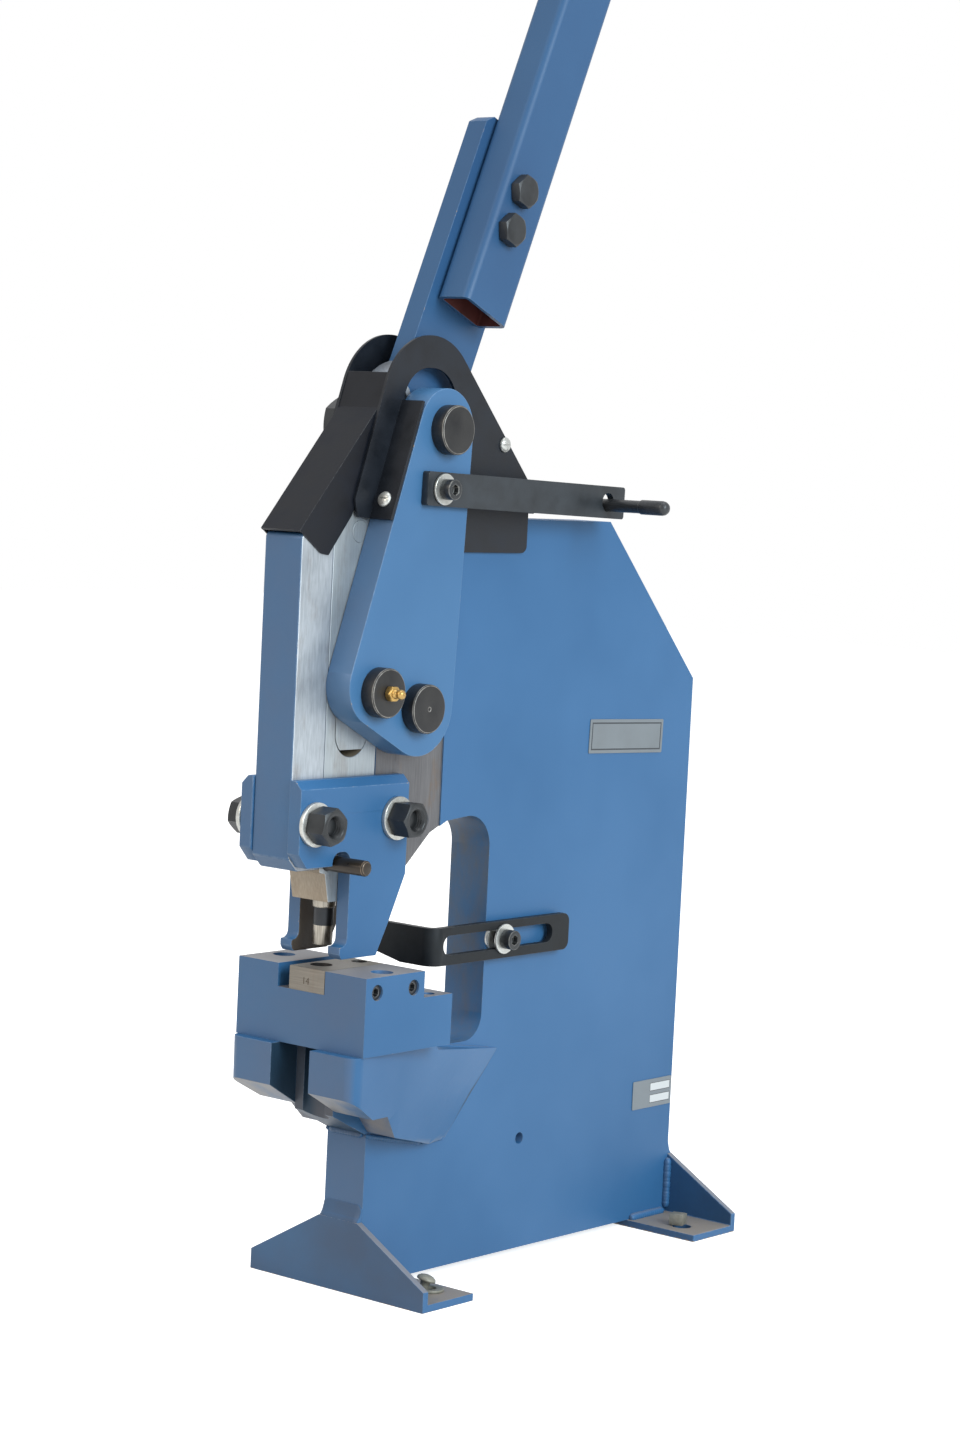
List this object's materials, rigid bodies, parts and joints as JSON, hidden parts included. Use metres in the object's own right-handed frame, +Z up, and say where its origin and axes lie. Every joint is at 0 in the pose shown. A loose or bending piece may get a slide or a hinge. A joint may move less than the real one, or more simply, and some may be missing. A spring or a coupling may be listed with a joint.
{
  "type": "lever hole punch",
  "caption": "Bench hole punch: thick plate frame on two angle feet, long rear-leaning lever, crank-driven ram and punch, slotted die block, strippers, guards and back gauge.",
  "frame": {"origin": "centre of the four foot holes, on the underside of the feet", "axes": "+Z up; +Y to the rear, away from the die; +X towards the side with the lever tube"},
  "size_m": [0.166, 0.5639, 1.5659],
  "materials": {
    "blue_paint": "satin enamel",
    "black_steel": "black oxide",
    "black_sheet": "satin black",
    "zinc": "zinc plated",
    "tool_steel": "ground",
    "ground_steel": "milled",
    "brass": "turned",
    "label_metal": "satin",
    "black_plastic": "moulded"
  },
  "bodies": {
    "root": {"frame_plate": "blue_paint", "foot_front": "blue_paint", "foot_rear": "blue_paint", "jaw_side_right": "blue_paint", "jaw_side_left": "blue_paint", "die_block": "blue_paint", "front_guide_bar": "blue_paint", "stripper_plate_right": "blue_paint", "stripper_plate_left": "blue_paint", "cheek_plate_right": "blue_paint", "cheek_plate_left": "blue_paint", "stripper_bolts": "black_steel", "stripper_nuts": "black_steel", "lever_pivot_pin": "black_steel", "front_cheek_pin": "black_steel", "rear_cheek_pin": "black_steel", "pin_nuts": "black_steel", "die_set_screws": "black_steel", "die_block_bolts": "black_steel", "lock_bar_screws": "black_steel", "gauge_screw": "black_steel", "guard_side_right": "black_sheet", "guard_side_left": "black_sheet", "guard_front": "black_sheet", "stripper_washers": "zinc", "lock_bar_washers": "zinc", "gauge_washer": "zinc", "guard_screws": "zinc", "guard_spacer": "zinc", "gauge_spacer": "zinc", "die_insert": "tool_steel", "ram_guide_block": "ground_steel", "grease_nipple": "brass", "name_plate": "label_metal", "rating_plate": "label_metal"},
    "ram": {"ram": "ground_steel", "punch_holder": "tool_steel", "punch": "black_steel", "punch_cross_pin": "black_steel", "ram_pin": "ground_steel"},
    "links": {"drive_link_right": "ground_steel", "drive_link_left": "ground_steel"},
    "lever": {"lever_plate": "blue_paint", "lever_tube": "blue_paint", "tube_end_cap": "black_plastic", "lever_bolts": "black_steel", "lever_nuts": "black_steel", "crank_pin": "black_steel"},
    "lock_bars": {"lock_bar_right": "black_sheet", "lock_bar_left": "black_sheet", "lock_pin": "black_steel"},
    "gauge": {"back_gauge": "black_sheet"}
  },
  "joints": [
    {"name": "lever_hinge", "type": "hinge", "parent": "root", "child": "lever", "pos_m": [0, -0.1405, 0.556], "axis": [1, 0, 0], "range_deg": [0, 39]},
    {"name": "ram_slide", "type": "slide", "parent": "root", "child": "ram", "axis": [0, 0, -1], "range_m": [0, 0.0193]},
    {"name": "link_hinge", "type": "hinge", "parent": "ram", "child": "links", "pos_m": [0, -0.1955, 0.49], "axis": [1, 0, 0], "range_deg": [0, 4.4]},
    {"name": "lock_hinge", "type": "hinge", "parent": "root", "child": "lock_bars", "pos_m": [0, -0.1475, 0.5185], "axis": [1, 0, 0], "range_deg": [0, 30]},
    {"name": "gauge_slide", "type": "slide", "parent": "root", "child": "gauge", "axis": [0, 1, 0], "range_m": [-0.039, 0.05]}
  ],
  "couplings": [
    {"joint": "ram_slide", "follows": "lever_hinge", "m_per_rad": 0.028207},
    {"joint": "link_hinge", "follows": "lever_hinge", "ratio": 0.10949}
  ]
}
